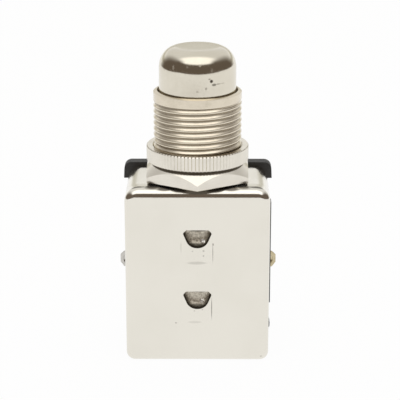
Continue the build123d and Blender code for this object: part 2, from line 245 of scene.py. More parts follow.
@dataclass(frozen=True)
class PlatedMetal(Finish):
    """Bright plating or bare metal with faint clouds, hairlines, single flaw marks, and painted shade on
    faces that look down and in grooves.
    """

    cloud: float = 6.0  # how far apart the clouds are
    hairline: Point = (1.0, 1.0, 6.0)  # how far the coordinates are stretched for hairlines
    grain_relief: float = 0.6  # the grain's height beside the hairlines'
    # Flaw marks; on the case they also hold painted shade and reflection
    marks: tuple[Mark, ...] = ()
    # The colour of the marks and of the painted shade
    mark_and_shade_colour: Colour = (0.08, 0.065, 0.05)
    mark_dulling: float = 0.35  # roughness that marks and painted shade add
    specks: tuple[Mark, ...] = ()  # pale dust and worn plating
    speck_colour: Colour = (0.62, 0.56, 0.46)
    painted_shade: float = 0.0  # how much painted shade darkens faces that look down
    painted_shade_turn: Pair = (-0.95, -0.6)  # how far up a face looks where the painted shade is full and where it ends
    groove_shade_reach: Optional[Pair] = None  # radii where painted shade in grooves is full and where it ends

    def paint_shade(self, sheet: NodeSheet) -> Socket:
        """Draws painted shade on faces that look down and in grooves round the axis.

        Args:
            sheet: The material's node sheet.

        Returns:
            How much painted shade shows.
        """
        upward = sheet.facing(2)
        painted_shade = sheet.ease(upward, self.painted_shade_turn, to=(self.painted_shade, 0.0))
        if self.groove_shade_reach:
            radius = sheet.vector("LENGTH", sheet.millimetres(stretch=(1.0, 1.0, 0.0)))
            sunk = sheet.ease(radius, self.groove_shade_reach, to=(self.painted_shade, 0.0))
            upright = sheet.ease(upward, span=(0.7, 0.8), to=(1.0, 0.0))
            painted_shade = sheet.math("MAXIMUM", painted_shade, sheet.product(sunk, upright))
        return painted_shade

    def draw(self, sheet: NodeSheet) -> Inputs:
        """Draws clouds, hairlines, flaw marks and painted shade.

        Args:
            sheet: The material's node sheet.

        Returns:
            What the shader's inputs get.
        """
        place = sheet.millimetres()
        clouds = sheet.noise(place, self.cloud)
        grain = sheet.noise(place, gap=0.35, detail=5.0)
        lines = sheet.noise(sheet.millimetres(self.hairline), gap=0.6, detail=4.0, rough=0.7)
        colour = sheet.blend(sheet.ease(clouds, span=(0.4, 0.7), to=(0.0, 0.5)), self.colour, self.shade)
        rough = sheet.ease(sheet.math("ADD", grain, clouds), span=(0.7, 1.3), to=self.gloss)
        # Painted shade on downward faces and in grooves where it is set, else the marks, which on the case
        # hold painted shade too
        flaws_and_shade = self.paint_shade(sheet) if self.painted_shade else self.spots(sheet, self.marks)
        if flaws_and_shade is not None:
            colour = sheet.blend(flaws_and_shade, colour, self.mark_and_shade_colour)
            rough = sheet.math("MULTIPLY_ADD", flaws_and_shade, self.mark_dulling, rough)
        metallic: Value = 1.0
        specks = self.spots(sheet, self.specks)
        if specks is not None:
            colour = sheet.blend(specks, colour, self.speck_colour)
            metallic = sheet.math("SUBTRACT", 1.0, specks)
        height = sheet.math("MULTIPLY_ADD", grain, self.grain_relief, lines)
        normal = sheet.bump(height, depth=0.002, strength=0.35)
        return {"Base Color": colour, "Metallic": metallic, "Roughness": rough, "Normal": normal}


@dataclass(frozen=True)
class MouldedPhenolic(Finish):
    """Black phenolic sheet with a faint paper fleck and dull edges that show its layers."""

    edge_dulling: float = 0.25

    def draw(self, sheet: NodeSheet) -> Inputs:
        """Draws the flecks, the layers that the edges show and a fine relief.

        Args:
            sheet: The material's node sheet.

        Returns:
            What the shader's inputs get.
        """
        flecks = sheet.noise(sheet.millimetres(), gap=0.5, detail=6.0, rough=0.65)
        layers = sheet.noise(sheet.millimetres(stretch=(0.4, 4.0, 0.4)), gap=0.6)
        edge = sheet.ease(sheet.math("ABSOLUTE", sheet.facing(1)), span=(0.2, 0.75), to=(1.0, 0.0))
        stain = sheet.product(edge, sheet.ease(layers, span=(0.25, 0.7), to=(0.35, 1.0)))
        dots = sheet.ease(flecks, span=(0.55, 0.75), to=(0.0, 0.35))
        colour = sheet.blend(sheet.math("MAXIMUM", stain, dots), self.colour, self.shade)
        dull = sheet.math("MULTIPLY_ADD", edge, self.edge_dulling, flecks)
        rough = sheet.ease(dull, span=(0.3, 0.9), to=self.gloss)
        normal = sheet.bump(flecks, depth=0.02, strength=0.3)
        return {"Base Color": colour, "Roughness": rough, "Normal": normal}


@dataclass(frozen=True)
class PressedSteel(Finish):
    """The pushed-in skin of a lanced tongue: mottled on its floor, with painted shade on its sides and
    painted highlights on its burrs.
    """

    side_shade: Colour = (0.05, 0.04, 0.026)  # painted shade for the sides that turn from the front and for the shadows
    metal: float = 0.65  # how metallic the skin still is
    shadows: tuple[Mark, ...] = ()  # painted shade under the sheared edge and at the foot
    glints: tuple[Mark, ...] = ()  # burrs, raised and polished, with a painted highlight
    # The burrs' painted highlight colour
    glint_highlight: Colour = (1.0, 0.98, 0.94)
    glint_polish: float = 0.6  # the share of the roughness that a burr loses
    glint_height: float = 3.0  # how high a burr stands beside the mottles

    def draw(self, sheet: NodeSheet) -> Inputs:
        """Draws the mottles, painted shade on the sides and under the edges, a rough relief and the burrs
        with their painted highlights.

        Args:
            sheet: The material's node sheet.

        Returns:
            What the shader's inputs get.
        """
        mottles = sheet.noise(sheet.millimetres(), gap=0.3, detail=4.0, rough=0.6)
        floor = sheet.blend(sheet.ease(mottles, span=(0.3, 0.7)), self.shade, self.colour)
        # Painted shade: faces that turn away from the front take the dark side colour
        frontal = sheet.ease(sheet.math("ABSOLUTE", sheet.facing(1)), span=(0.3, 0.85))
        colour = sheet.blend(frontal, self.side_shade, floor)
        rough = sheet.ease(mottles, span=(0.3, 0.7), to=self.gloss)
        height = mottles
        # Painted shade under the sheared edge and at the foot
        shadows = self.spots(sheet, self.shadows)
        if shadows is not None:
            colour = sheet.blend(shadows, colour, self.side_shade)
        # Burrs: raised and polished, with a painted highlight in near white
        glints = self.spots(sheet, self.glints)
        if glints is not None:
            colour = sheet.blend(glints, colour, self.glint_highlight)
            rough = sheet.product(rough, sheet.math("MULTIPLY_ADD", glints, -self.glint_polish, 1.0))
            height = sheet.math("MULTIPLY_ADD", glints, self.glint_height, mottles)
        normal = sheet.bump(height, depth=0.06, strength=0.5)
        return {"Base Color": colour, "Metallic": self.metal, "Roughness": rough, "Normal": normal}


FRONT = -6.1  # depth of the case's front wall
SCRAPE_DEPTH = 0.3  # half the depth of the marks on it


def scrape(x: float, z: float, half_x: float, half_z: float, strength: float) -> Mark:
    """A mark on the case's front wall."""
    return Mark((x, FRONT, z), (half_x, SCRAPE_DEPTH, half_z), strength)


# Scrapes round the tongues, dents and a dot at the lower corner, then painted shade and reflection of the
# nut's dark underside on the top before the nut, and painted dark reflection lines along the top's bend at
# both ends
CASE_FLAWS_AND_SHADE = (
    scrape(2.09, -13.75, 0.07, 1.5, 0.42),
    scrape(2.12, -12.55, 0.12, 0.22, 0.5),
    scrape(1.95, -21.8, 0.07, 1.7, 0.6),
    scrape(-2.2, -13.0, 0.1, 0.9, 0.12),
    scrape(-0.05, -15.2, 1.45, 0.24, 0.2),
    scrape(-0.35, -23.8, 1.0, 0.2, 0.13),
    scrape(-0.66, -13.53, 0.12, 0.1, 0.25),
    scrape(0.83, -13.46, 0.16, 0.14, 0.35),
    scrape(0.83, -14.18, 0.13, 0.13, 0.35),
    scrape(-0.4, -22.16, 0.12, 0.12, 0.25),
    scrape(0.69, -21.95, 0.14, 0.12, 0.25),
    scrape(-2.93, -23.92, 0.15, 0.12, 0.4),
    Mark((8.77, -6.05, -28.88), (0.14, 0.3, 0.12), 0.4),
    # Painted shade and reflection of the nut's dark underside on the top before the nut
    Mark((-6.0, -4.95, -4.85), (1.3, 0.75, 0.3), 0.85),
    Mark((6.2, -4.9, -4.85), (1.2, 0.7, 0.3), 0.7),
    Mark((-4.4, -5.4, -4.95), (1.3, 0.5, 0.35), 0.85),
    Mark((4.5, -5.4, -4.95), (1.3, 0.5, 0.35), 0.8),
    Mark((-2.4, -5.7, -5.1), (1.2, 0.35, 0.3), 0.7),
    Mark((2.4, -5.7, -5.1), (1.2, 0.35, 0.3), 0.7),
    # Painted dark reflection lines along the top's bend, left and right of the nut
    Mark((-8.3, -4.95, -4.8), (1.5, 0.34, 0.35), 0.85),
    Mark((8.2, -4.95, -4.8), (1.6, 0.42, 0.35), 0.85),
)
CAP_FLAWS = (
    Mark((1.85, -4.85, 9.65), (0.25, 0.25, 0.25), 0.95),
    Mark((1.6, -4.95, 9.95), (0.2, 0.2, 0.12), 0.4),
    Mark((2.2, -4.7, 9.15), (0.4, 0.3, 0.2), 0.6),
    Mark((2.75, -4.4, 9.2), (0.5, 0.35, 0.1), 0.4),
    Mark((3.35, -4.0, 9.2), (0.35, 0.4, 0.1), 0.2),
    Mark((0.0, -5.2, 8.3), (0.2, 0.2, 0.15), 0.2),
    Mark((1.15, -5.05, 8.7), (0.2, 0.2, 0.2), 0.3),
    Mark((2.85, -3.8, 13.2), (0.15, 0.2, 0.3), 0.35),
)
CAP_SPECKS = (
    Mark((-3.15, -4.0, 11.3), (0.15, 0.3, 0.4), 0.35),
    Mark((0.35, -4.95, 11.75), (0.15, 0.25, 0.2), 0.7),
    Mark((1.9, -4.8, 11.1), (0.15, 0.3, 0.3), 0.25),
    Mark((-1.3, -4.85, 11.55), (0.2, 0.3, 0.2), 0.2),
)
# Painted shade under each pocket's sheared edge and at its foot
POCKET_SHADOWS = (
    Mark((0.1, -5.0, -10.92), (1.3, 0.5, 0.17), 0.85),
    Mark((-0.1, -5.7, -12.8), (1.3, 0.7, 0.34), 0.8),
    Mark((0.3, -5.0, -19.72), (1.1, 0.5, 0.14), 0.75),
    Mark((-0.1, -5.7, -21.6), (1.3, 0.7, 0.34), 0.8),
)
# Painted highlights on raised burrs low in each pocket
POCKET_GLINTS = (
    Mark((0.72, -5.5, -12.35), (0.34, 0.8, 0.3), 1.0),
    Mark((0.62, -5.5, -21.0), (0.34, 0.8, 0.3), 1.0),
)
CASE_NICKEL = PlatedMetal(
    "case_nickel", (0.795, 0.765, 0.69), (0.765, 0.735, 0.655), (0.1, 0.18), cloud=9.0, marks=CASE_FLAWS_AND_SHADE
)
CAP_NICKEL = PlatedMetal(
    "cap_nickel", (0.72, 0.675, 0.575), (0.67, 0.62, 0.52), (0.1, 0.18),
    cloud=4.0, marks=CAP_FLAWS, specks=CAP_SPECKS,
)
# Painted shade darkens the thread's downward faces and the floors of its grooves
BUSHING_NICKEL = PlatedMetal(
    "bushing_nickel", (0.745, 0.672, 0.548), (0.685, 0.612, 0.49), (0.16, 0.26),
    cloud=3.0, painted_shade=0.36, painted_shade_turn=(-0.6, -0.35), groove_shade_reach=(5.71, 5.79),
)
# Painted shade darkens the nuts' downward faces, such as the ring nut's underside over the hex nut
NUT_NICKEL = PlatedMetal(
    "nut_nickel", (0.765, 0.725, 0.645), (0.71, 0.67, 0.59), (0.12, 0.22), cloud=3.0, painted_shade=0.92
)
LANCED_SKIN = PressedSteel(
    "lanced_skin", (0.95, 0.89, 0.76), (0.46, 0.41, 0.33), (0.3, 0.5),
    shadows=POCKET_SHADOWS, glints=POCKET_GLINTS,
)
BLACK_PHENOLIC = MouldedPhenolic("black_phenolic", (0.028, 0.027, 0.026), (0.055, 0.055, 0.056), (0.4, 0.65))
ROLLED_BRASS = PlatedMetal(
    "rolled_brass", (0.6, 0.52, 0.34), (0.42, 0.35, 0.22), (0.25, 0.45), cloud=1.2, hairline=(1.0, 1.0, 8.0)
)
TINNED_BRASS = PlatedMetal("tinned_brass", (0.58, 0.56, 0.51), (0.38, 0.35, 0.29), (0.28, 0.48), cloud=1.2)
TURNED_STEEL = PlatedMetal(
    "turned_steel", (0.56, 0.55, 0.53), (0.46, 0.45, 0.43), (0.2, 0.35), cloud=2.0, hairline=(1.0, 1.0, 10.0)
)
SPRING_STEEL = PlatedMetal("spring_steel", (0.42, 0.415, 0.41), (0.3, 0.29, 0.28), (0.2, 0.32), cloud=1.5)
CONTACT_SILVER = PlatedMetal("contact_silver", (0.86, 0.85, 0.82), (0.6, 0.56, 0.48), (0.15, 0.35), cloud=0.8)


def arc(centre: Pair, radius: float, span: Pair, steps: int) -> list[Pair]:
    """Points along an arc, from its first angle to its last, in degrees."""
    turns = [math.radians(span[0] + (span[1] - span[0]) * k / steps) for k in range(steps + 1)]
    return [(centre[0] + radius * math.cos(t), centre[1] + radius * math.sin(t)) for t in turns]


def rounded(corners: Sequence[Point], steps: int) -> list[Pair]:
    """A closed convex outline with round corners.

    Args:
        corners: Each corner's two coordinates and its radius, in order.
        steps: How many pieces each round corner is cut into.

    Returns:
        The outline's points, the same number for each corner.
    """
    outline: list[Pair] = []
    for k, (x, y, radius) in enumerate(corners):
        here = Vector((x, y))
        back = (Vector(corners[k - 1][:2]) - here).normalized()
        ahead = (Vector(corners[(k + 1) % len(corners)][:2]) - here).normalized()
        half = back.angle(ahead) / 2
        centre = here + (back + ahead).normalized() * radius / math.sin(half)
        first = here + back * radius / math.tan(half) - centre
        sweep = math.copysign(math.pi - 2 * half, first.x * ahead.y - first.y * ahead.x)
        for step in range(steps + 1):
            turn = sweep * step / steps
            c, s = math.cos(turn), math.sin(turn)
            outline.append((centre.x + first.x * c - first.y * s, centre.y + first.x * s + first.y * c))
    return outline


def clean(mesh: Mesh, weld: float, flat: Optional[float] = None) -> None:
    """Welds a mesh, merges faces that lie flat together, turns all outward and shades them smooth.

    Args:
        mesh: The mesh, in metres.
        weld: How near points are welded, in millimetres.
        flat: The angle in degrees up to which faces merge, or None to keep them apart.
    """
    shape = bmesh.new()
    shape.from_mesh(mesh)
    bmesh.ops.remove_doubles(shape, verts=shape.verts, dist=weld * MM)
    if flat is not None:
        limit = math.radians(flat)
        bmesh.ops.dissolve_limit(shape, angle_limit=limit, verts=shape.verts, edges=shape.edges)
    bmesh.ops.recalc_face_normals(shape, faces=shape.faces)
    shape.to_mesh(mesh)
    shape.free()
    mesh.polygons.foreach_set("use_smooth", [True] * len(mesh.polygons))


@dataclass
class Draft:
    """Points and faces of a mesh in the making, in millimetres."""

    points: list[Point] = field(default_factory=list)
    faces: list[tuple[tuple[int, ...], int]] = field(default_factory=list)  # points and finish number

    def ring(self, points: Iterable[Point]) -> list[int]:
        """Adds points.

        Args:
            points: The points in order.

        Returns:
            Their numbers.
        """
        first = len(self.points)
        self.points.extend(points)
        return list(range(first, len(self.points)))

    def band(self, low: list[int], high: list[int], paint: int = 0, skip: Iterable[int] = ()) -> None:
        """Joins two closed rings with quads, or a ring and a pole with triangles.

        Args:
            low: One ring, or a single point.
            high: The other ring, or a single point.
            paint: The finish's number.
            skip: Places along the ring that stay open.
        """
        count = max(len(low), len(high))
        for k in sorted(set(range(count)) - set(skip)):
            n = (k + 1) % count
            corners = [low[k % len(low)], low[n % len(low)], high[n % len(high)], high[k % len(high)]]
            self.faces.append((tuple(dict.fromkeys(corners)), paint))

    def stack(self, last: list[int], rings: Iterable[Iterable[Point]], paint: int = 0) -> list[int]:
        """Adds rings, each joined to the one before.

        Args:
            last: The ring to start from.
            rings: The points of each further ring.
            paint: The finish's number.

        Returns:
            The last ring.
        """
        for points in rings:
            ring = self.ring(points)
            self.band(last, ring, paint)
            last = ring
        return last

    def plate(self, loops: list[list[int]], paint: int = 0) -> None:
        """Fills a flat outline with holes.

        Args:
            loops: The outline's points and then each hole's.
            paint: The finish's number.
        """
        numbers = [n for loop in loops for n in loop]
        shapes = [[Vector(self.points[n]) for n in loop] for loop in loops]
        for corners in tessellate_polygon(shapes):
            self.faces.append((tuple(numbers[c] for c in corners), paint))

    def spin(
        self, turns: Sequence[float], sections: Sequence[Sequence[Pair]],
        closed: bool = True, skip: Iterable[int] = (),
    ) -> None:
        """Joins sections that stand round the Z axis.

        Args:
            turns: Each section's direction, in radians.
            sections: Radius and height of each section's points, with a radius of 0 for a pole.
            closed: Whether a section's last point joins its first.
            skip: Places between sections that stay open.
        """
        rings = []
        for row in zip(*sections):
            points = [(r * math.cos(t), r * math.sin(t), z) for t, (r, z) in zip(turns, row)]
            rings.append(self.ring(points if row[0][0] else points[:1]))
        for low, high in zip(rings, rings[1:] + (rings[:1] if closed else [])):
            self.band(low, high, skip=skip)

    def lathe(self, profile: Sequence[Pair], steps: int, closed: bool = True) -> None:
        """Turns one profile all the way round the Z axis in some steps."""
        turns = [2 * math.pi * k / steps for k in range(steps)]
        self.spin(turns, [profile] * steps, closed)

    def mesh(self, name: str, finishes: Sequence[Finish], sharp: float, weld: float = 1e-4) -> Mesh:
        """Makes a Blender mesh with outward faces, smooth except at sharp edges.

        Args:
            name: The mesh's name.
            finishes: The finishes that the faces' numbers stand for.
            sharp: The angle in degrees past which an edge is sharp.
            weld: How near points are welded, in millimetres.

        Returns:
            The mesh, in metres.
        """
        mesh = bpy.data.meshes.new(name)
        mesh.from_pydata([tuple(c * MM for c in p) for p in self.points], [], [f for f, _ in self.faces])
        for finish in finishes:
            mesh.materials.append(finish.material())
        mesh.polygons.foreach_set("material_index", [paint for _, paint in self.faces])
        clean(mesh, weld)
        mesh.set_sharp_from_angle(angle=math.radians(sharp))
        return mesh


def put(mesh: Mesh) -> Piece:
    """Puts a mesh in the scene at the origin.

    Args:
        mesh: The mesh.

    Returns:
        The new object, of the same name.
    """
    piece = bpy.data.objects.new(mesh.name, mesh)
    bpy.context.scene.collection.objects.link(piece)
    return piece


def weigh_normals(piece: Piece, weight: int = 90) -> Piece:
    """Lets the larger faces set a piece's shading, so that flats stay flat beside their rounds.

    Args:
        piece: The piece.
        weight: How much the larger faces lead, where 50 is even.

    Returns:
        The same piece.
    """
    weighted = piece.modifiers.new("flat_faces_lead", "WEIGHTED_NORMAL")
    weighted.keep_sharp = True
    weighted.weight = weight
    return piece


def fit(piece: Piece, body: Body, slot: Slot, *nodes: str) -> None:
    """Lets a piece stand for its CAD nodes and ride on their body.

    Args:
        piece: The finished piece.
        body: The CAD body that it moves with.
        slot: The record's material slot; not used.
        *nodes: The CAD nodes that it replaces.
    """
    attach(piece, body.value)
    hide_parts(*nodes)
    LOG.info("%s rides on %s and stands for %s", piece.name, body.value, ", ".join(nodes))


def rounded_copy(node: str, finish: Finish, width: float, bend: float = 35.0) -> Piece:
    """Copies a CAD node, merges its triangles into flat faces and rounds its edges.

    Args:
        node: The CAD node.
        finish: The copy's finish.
        width: How wide the rounded edges are, in millimetres.
        bend: The angle in degrees past which an edge is rounded.

    Returns:
        The copy as a new object.
    """
    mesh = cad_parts[node].data.copy()
    mesh.name = f"{node}_dressed"
    clean(mesh, weld=1e-3, flat=1.0)
    finish.dress(mesh)
    piece = put(mesh)
    edge = piece.modifiers.new("rounded_edges", "BEVEL")
    edge.width = width * MM
    edge.segments = 3
    edge.limit_method = "ANGLE"
    edge.angle_limit = math.radians(bend)
    return weigh_normals(piece)


class GrowthTree(NodeSheet):
    """A Geometry Nodes tree with named inputs that grows one piece as a plain mesh."""

    KINDS = {float: "NodeSocketFloat", int: "NodeSocketInt"}

    def __init__(self, name: str, lengths: dict[str, float], **numbers: Union[float, int]) -> None:
        """Makes the tree with its inputs.

        Args:
            name: The tree's name.
            lengths: Each named length, in millimetres.
            **numbers: Each named count or share.
        """
        super().__init__(bpy.data.node_groups.new(name, "GeometryNodeTree"))
        self.sizes = {key: length * MM for key, length in lengths.items()} | numbers
        kinds = {key: self.KINDS[type(size)] for key, size in self.sizes.items()}
        for key, kind in {"Geometry": "NodeSocketGeometry", **kinds, "Finish": "NodeSocketMaterial"}.items():
            self.tree.interface.new_socket(key, in_out="INPUT", socket_type=kind)
        self.tree.interface.new_socket("Geometry", in_out="OUTPUT", socket_type="NodeSocketGeometry")
        self.entry = self.node("NodeGroupInput")

    def __getitem__(self, name: str) -> Socket:
        """The socket of a named input."""
        return self.entry.outputs[name]

    def repeat(self, points: Socket, turn: Value) -> Socket:
        """Sets the starting mesh on points.

        Args:
            points: The points.
            turn: The angles about the three axes that it is turned by.

        Returns:
            The instances.
        """
        spin = self.add("FunctionNodeEulerToRotation", {0: turn})
        inputs = {"Points": points, "Instance": self["Geometry"], "Rotation": spin}
        return self.add("GeometryNodeInstanceOnPoints", inputs)

    def close(self, geometry: Socket, weld: float = 0.0) -> None:
        """Ends the tree: realises instances, welds their seams and sets the finish.

        Args:
            geometry: What the tree has made.
            weld: How near points are welded, in millimetres, or 0 for no welding.
        """
        made = self.add("GeometryNodeRealizeInstances", {0: geometry})
        if weld:
            made = self.add("GeometryNodeMergeByDistance", {0: made, "Distance": weld * MM})
        made = self.add("GeometryNodeSetShadeSmooth", {0: made, "Shade Smooth": True})
        made = self.add("GeometryNodeSetMaterial", {0: made, "Material": self["Finish"]})
        self.node("NodeGroupOutput", {0: made})

    def grow(self, name: str, finish: Finish, sharp: float, start: Optional[Mesh] = None) -> Piece:
        """Runs the tree and keeps the result as a plain mesh.

        Args:
            name: The new piece's name.
            finish: Its finish.
            sharp: The angle in degrees past which an edge is sharp.
            start: The mesh that the tree starts from, if it needs one.

        Returns:
            The new piece.
        """
        bed = put(start or bpy.data.meshes.new(f"{name}_bed"))
        growth = bed.modifiers.new("growth", "NODES")
        growth.node_group = self.tree
        sockets = [item for item in self.tree.interface.items_tree if item.in_out == "INPUT"]
        named = {item.name: item.identifier for item in sockets}
        for key, value in (self.sizes | {"Finish": finish.material()}).items():
            growth[named[key]] = value
        graph = bpy.context.evaluated_depsgraph_get()
        mesh = bpy.data.meshes.new_from_object(bed.evaluated_get(graph))
        mesh.name = name
        finish.dress(mesh)
        mesh.set_sharp_from_angle(angle=math.radians(sharp))
        bpy.data.objects.remove(bed)
        return put(mesh)


@dataclass
class DrawnCase:
    """The drawn can with its two lanced tongues and four folded tabs."""

    half_width: float = 9.8
    top: float = -4.85
    bottom: float = -29.71
    front: float = FRONT
    rim: float = 5.6  # depth of the open rear rim
    sheet: float = 0.5  # thickness
    corner: float = 2.0  # radius of the upper corners
    corner_draw: float = 1.6  # how fast they tighten towards the front
    foot_corner: float = 1.2  # radius of the lower corners
    foot_draw: float = 0.744  # how fast these tighten
    corner_steps: int = 12
    edge: float = 1.1  # depth of the front edges' round
    edge_drop: float = 1.1  # how far it reaches over the front, as a share of its depth
    ridge: float = 0.077  # how far the drawing mark behind the front edge stands out of the top
    ridge_length: float = 1.9
    ridge_climb: tuple[Pair, ...] = (  # how far along and how high, as shares
        (0.08, 0.02), (0.25, 0.14), (0.45, 0.28), (0.65, 0.43),
        (0.72, 0.49), (0.8, 0.62), (0.9, 0.81), (1.0, 1.0),
    )
    neck: float = 3.02  # radius of the hole in the top
    tab_levels: Pair = (-27.1, -8.8)  # heights of the tabs' middles
    tab_half: float = 1.4  # half a tab's width
    tab_fold: float = 1.6  # length that lies on the board
    tab_seat: float = 7.4  # depth of the board's rear face
    tab_bend: float = 0.2  # inner radius of the bend
    tab_tip: float = 0.12  # chamfer at the end
    stop_gap: float = 0.005  # least distance from a lower corner to a tab's side
    tongue_tops: Pair = (-10.525, -19.325)  # heights of the sheared edges
    tongue_width: float = 3.92
    tongue_height: float = 2.55
    tongue_shoulder: float = 0.45  # how far the upper corners are cut
    shoulder_round: float = 0.27  # radius of these cuts' corners
    tongue_flare: float = 0.42  # how far the sides lean in, as a share of the height
    tongue_corner: float = 1.5  # radius at the foot
    tongue_tighten: float = 0.6  # the share of that radius that is lost on the floor
    tongue_push: float = 1.1  # how far a tongue is pushed in
    tongue_inset: float = 1.0  # how far its sides lean in over that depth
    tongue_ramp: float = 1.45  # how far its foot rises over that depth
    tongue_skin: float = 0.42  # how much larger the inner skin's outline is
    push_angles: tuple[int, ...] = (4, 12, 24, 38, 52, 66, 79, 90)  # rows of the pushed-in wall, in degrees

    def outline(self, inset: float, depth: float, rise: float = 0.0) -> list[Point]:
        """The case's rounded outline, anticlockwise from the front, with stops at the tabs' sides.

        Args:
            inset: How far inside the outer wall it runs.
            depth: Its depth.
            rise: How far its top is lifted.

        Returns:
            The outline's points.
        """
        right = self.half_width - inset
        high = self.top - inset + rise
        low = self.bottom + inset
        upper = self.corner - self.corner_draw * inset
        lower = self.foot_corner - self.foot_draw * inset
        stops = [level + side * self.tab_half for level in self.tab_levels for side in (-1, 1)]
        stops[0] = max(stops[0], low + lower + self.stop_gap)
        flat = arc((right - lower, low + lower), lower, (-90, 0), self.corner_steps)
        flat += [(right, stop) for stop in stops]
        flat += arc((right - upper, high - upper), upper, (0, 90), self.corner_steps)
        flat += [(-x, z) for x, z in reversed(flat)]
        return [(x, depth, z) for x, z in flat]

    def tongue(self, top: float, share: float, depth: float, skin: float) -> list[Point]:
        """A tongue's outline at some depth.

        Args:
            top: The height of its sheared edge.
            share: How far in it is, from 0 at the wall to 1 at its floor.
            depth: The depth that it lies at.
            skin: How far the outline is grown.

        Returns:
            The outline's points, clockwise from the upper left.
        """
        half = self.tongue_width / 2 - self.tongue_inset * share + skin
        height = self.tongue_height - self.tongue_ramp * share + skin
        cut = self.tongue_shoulder
        foot = half - self.tongue_flare * (height - cut)
        foot_round = self.tongue_corner * (1 - self.tongue_tighten * share) + skin
        shoulder = [(half - cut, 0.0, self.shoulder_round), (half, -cut, self.shoulder_round)]
        corners = shoulder + [(foot, -height, foot_round)]
        corners += [(-x, z, radius) for x, z, radius in reversed(corners)]
        return [(x, depth, top + z) for x, z in rounded(corners, steps=6)]

    def pocket(self, draft: Draft, top: float, inset: float) -> list[int]:
        """Adds one skin of a pushed-in tongue.

        Args:
            draft: The draft to add to.
            top: The height of its sheared edge.
            inset: How far inside the outer wall the skin lies.

        Returns:
            The ring of its mouth.
        """
        front = self.front + inset
        skin = self.tongue_skin if inset else 0.0
        mouth = draft.ring(self.tongue(top, 0.0, front, skin))
        turns = [math.radians(angle) for angle in self.push_angles]
        places = [(1 - math.cos(turn), front + self.tongue_push * math.sin(turn)) for turn in turns]
        floor = draft.stack(mouth, (self.tongue(top, share, depth, skin) for share, depth in places), paint=1)
        draft.plate([floor], paint=1)
        return mouth

    def shell(self, draft: Draft, inset: float) -> tuple[list[int], list[int]]:
        """Adds one skin of the case, outer or inner, with its tongues.

        Args:
            draft: The draft to add to.
            inset: 0 for the outer skin, and the sheet's thickness for the inner one.

        Returns:
            The rim's ring and the neck hole's ring.
        """
        front = self.front + inset
        bend = self.edge - inset
        ridge = 0.0 if inset else self.ridge
        mark = front + bend + self.ridge_length
        rim = draft.ring(self.outline(inset, self.rim))
        behind = draft.ring(self.outline(inset, mark))
        top = len(rim) // 2 - 1  # the flat top lies between the outline's two halves
        draft.band(rim, behind, skip=[top])
        circle = arc((0.0, 0.0), self.neck, (-90, 270), steps=48)[:-1]
        neck = draft.ring((x, y, self.top - inset) for x, y in circle)
        draft.plate([[rim[top], rim[top + 1], behind[top + 1], behind[top]], neck])
        path = [(0.0, mark - self.ridge_length * share, ridge * lift) for share, lift in self.ridge_climb]
        turns = arc((bend, bend), bend, (180, 270), steps=14)[1:]
        path += [(self.edge_drop * inward, front + depth, ridge * depth / bend) for inward, depth in turns]
        outlines = (self.outline(inset + inward, depth, rise) for inward, depth, rise in path)
        face = draft.stack(behind, outlines)
        draft.plate([face] + [self.pocket(draft, level, inset) for level in self.tongue_tops])
        return rim, neck

    def tab(self, draft: Draft, root: list[int], side: int, level: float) -> None:
        """Adds a tab from its root on the rim, over the board's edge and down on its rear.

        Args:
            draft: The draft to add to.
            root: The root's four points: outer pair, then inner pair.
            side: -1 for the left and 1 for the right.
            level: The height of its middle.
        """
        outer = self.tab_bend + self.sheet
        centre = (self.half_width - outer, self.tab_seat - self.tab_bend)
        bends = [arc(centre, radius, (0, 90), steps=8) for radius in (outer, self.tab_bend)]
        path = list(zip(*bends))
        end = self.half_width - self.tab_fold
        back = self.tab_seat + self.sheet
        tips = ((end + self.tab_tip, back), (end, back - self.tab_tip))
        path += [(tip, (end, self.tab_seat)) for tip in tips]
        first, second = level - side * self.tab_half, level + side * self.tab_half
        rings = []
        for skin, lining in path:
            corners = ((skin, first), (skin, second), (lining, second), (lining, first))
            rings.append([(side * x, y, z) for (x, y), z in corners])
        draft.faces.append((tuple(draft.stack(root, rings)), 0))

    def build(self) -> None:
        """Builds both skins, the rim and the tabs as one piece and dresses it."""
        draft = Draft()
        outer_rim, outer_neck = self.shell(draft, 0.0)
        inner_rim, inner_neck = self.shell(draft, self.sheet)
        # Two stops for each tab follow the lower right corner, and two precede the lower left one
        right = self.corner_steps + 1
        left = len(outer_rim) - right - 2 * len(self.tab_levels)
        places = [right, right + 2, left, left + 2]
        draft.band(outer_rim, inner_rim, skip=places)
        draft.band(outer_neck, inner_neck)
        for place, side, level in zip(places, (1, 1, -1, -1), self.tab_levels + self.tab_levels[::-1]):
            root = [outer_rim[place], outer_rim[place + 1], inner_rim[place + 1], inner_rim[place]]
            self.tab(draft, root, side, level)
        mesh = draft.mesh("drawn_case", [CASE_NICKEL, LANCED_SKIN], sharp=35.0)
        fit(weigh_normals(put(mesh)), Body.HOUSING, Slot.NICKEL_STEEL, "case")


